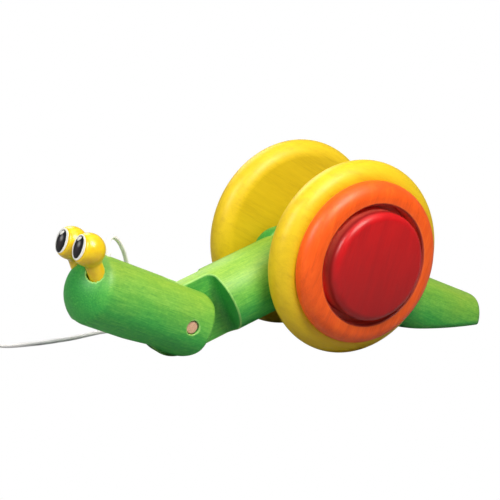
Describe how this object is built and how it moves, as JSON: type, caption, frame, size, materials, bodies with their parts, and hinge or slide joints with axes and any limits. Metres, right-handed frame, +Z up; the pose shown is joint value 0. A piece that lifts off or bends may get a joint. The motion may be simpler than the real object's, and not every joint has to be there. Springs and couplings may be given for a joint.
{
  "type": "wooden pull-along snail",
  "caption": "Wooden pull-along snail: hinged green dowel body, layered round shell wheels on an off-centre axle, two knob eyes and a pull cord.",
  "frame": {"origin": "on the floor, in the middle of the whole toy with its cord laid out in front of the head", "axes": "+X from the head towards the tail, +Y towards the toy's right side, +Z up"},
  "size_m": [0.3676, 0.12, 0.12],
  "materials": {
    "green_stained_wood": "satin green stain with the grain showing, paler on worn edges",
    "yellow_stained_wood": "smooth satin yellow stain",
    "orange_stained_wood": "satin orange stain on turned wood",
    "red_stained_wood": "glossy deep red stain with straight grain",
    "yellow_paint": "glossy yellow paint with a painted eye on the flat front",
    "plain_wood": "plain sanded wood",
    "white_cord": "matt braided cotton"
  },
  "bodies": {
    "body": {"body": "green_stained_wood", "cord_lower": "white_cord"},
    "head": {"head": "green_stained_wood", "head_pin": "plain_wood", "eye_left": "yellow_paint", "eye_right": "yellow_paint", "cord_upper": "white_cord"},
    "tail": {"tail": "green_stained_wood"},
    "wheels": {"axle": "plain_wood", "wheel_left": "yellow_stained_wood", "wheel_right": "yellow_stained_wood", "ring_left": "orange_stained_wood", "ring_right": "orange_stained_wood", "hub_cap_left": "red_stained_wood", "hub_cap_right": "red_stained_wood"},
    "cord_lead": {"cord_lead": "white_cord", "grip_bead": "plain_wood"}
  },
  "joints": [
    {"name": "head_pitch", "type": "hinge", "parent": "body", "child": "head", "pos_m": [-0.0478, 0, 0.0227], "axis": [0, 1, 0], "range_deg": [-22, 25]},
    {"name": "tail_pitch", "type": "hinge", "parent": "body", "child": "tail", "pos_m": [0.0393, 0, 0.0516], "axis": [0, 1, 0], "range_deg": [-12, 28]},
    {"name": "wheels_spin", "type": "hinge", "parent": "body", "child": "wheels", "pos_m": [0.0393, 0, 0.0516], "axis": [0, 1, 0], "continuous": true},
    {"name": "cord_lift", "type": "hinge", "parent": "body", "child": "cord_lead", "pos_m": [-0.094, 0.0445, 0.0014], "axis": [0, 1, 0], "range_deg": [0, 40]}
  ]
}
